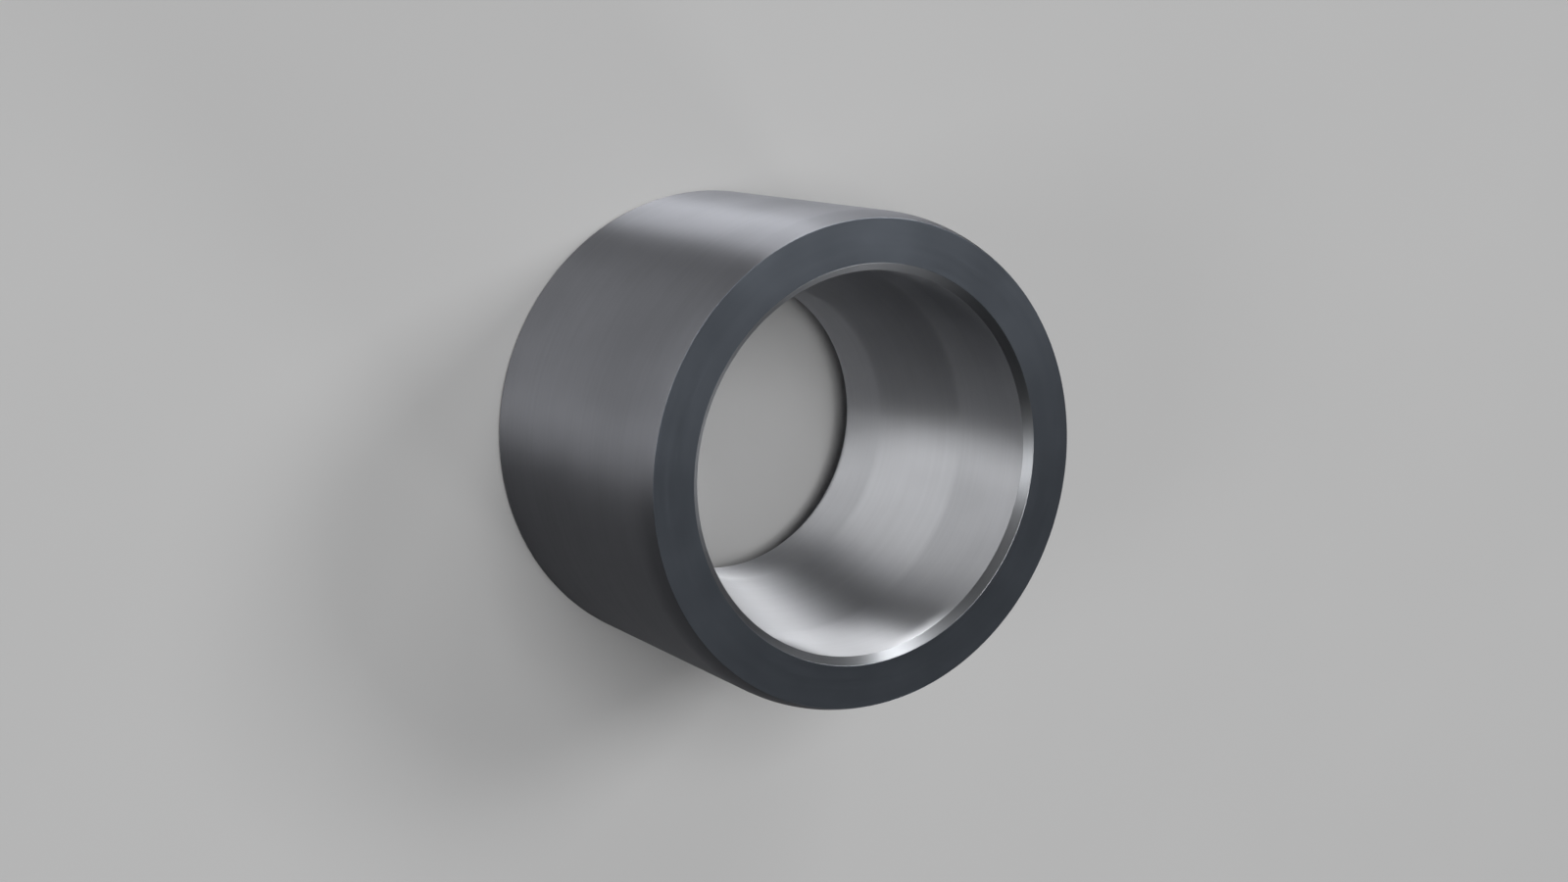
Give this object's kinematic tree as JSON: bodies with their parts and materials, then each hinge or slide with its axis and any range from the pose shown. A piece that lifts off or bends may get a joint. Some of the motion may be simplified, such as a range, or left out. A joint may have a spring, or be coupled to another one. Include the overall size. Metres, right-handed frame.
{
  "type": "thrust ring",
  "caption": "Thick steel thrust ring: a guide bore narrows over a tapered seat to a pilot bore with a flared rear mouth, and a rounded lead-in eases its front edge into a housing.",
  "frame": {"origin": "centre of the rear face, on the axis, which is the centre of the bottom of the bounding box", "axes": "+Z along the ring's axis, from the rear face to the front face with the guide bore and the rounded lead-in; X and Y are alike"},
  "size_m": [0.13, 0.13, 0.085],
  "materials": {
    "ring_steel": "ground faces, finely turned outside and polished bore"
  },
  "bodies": {
    "root": {"thrust_ring": "ring_steel"}
  },
  "joints": []
}
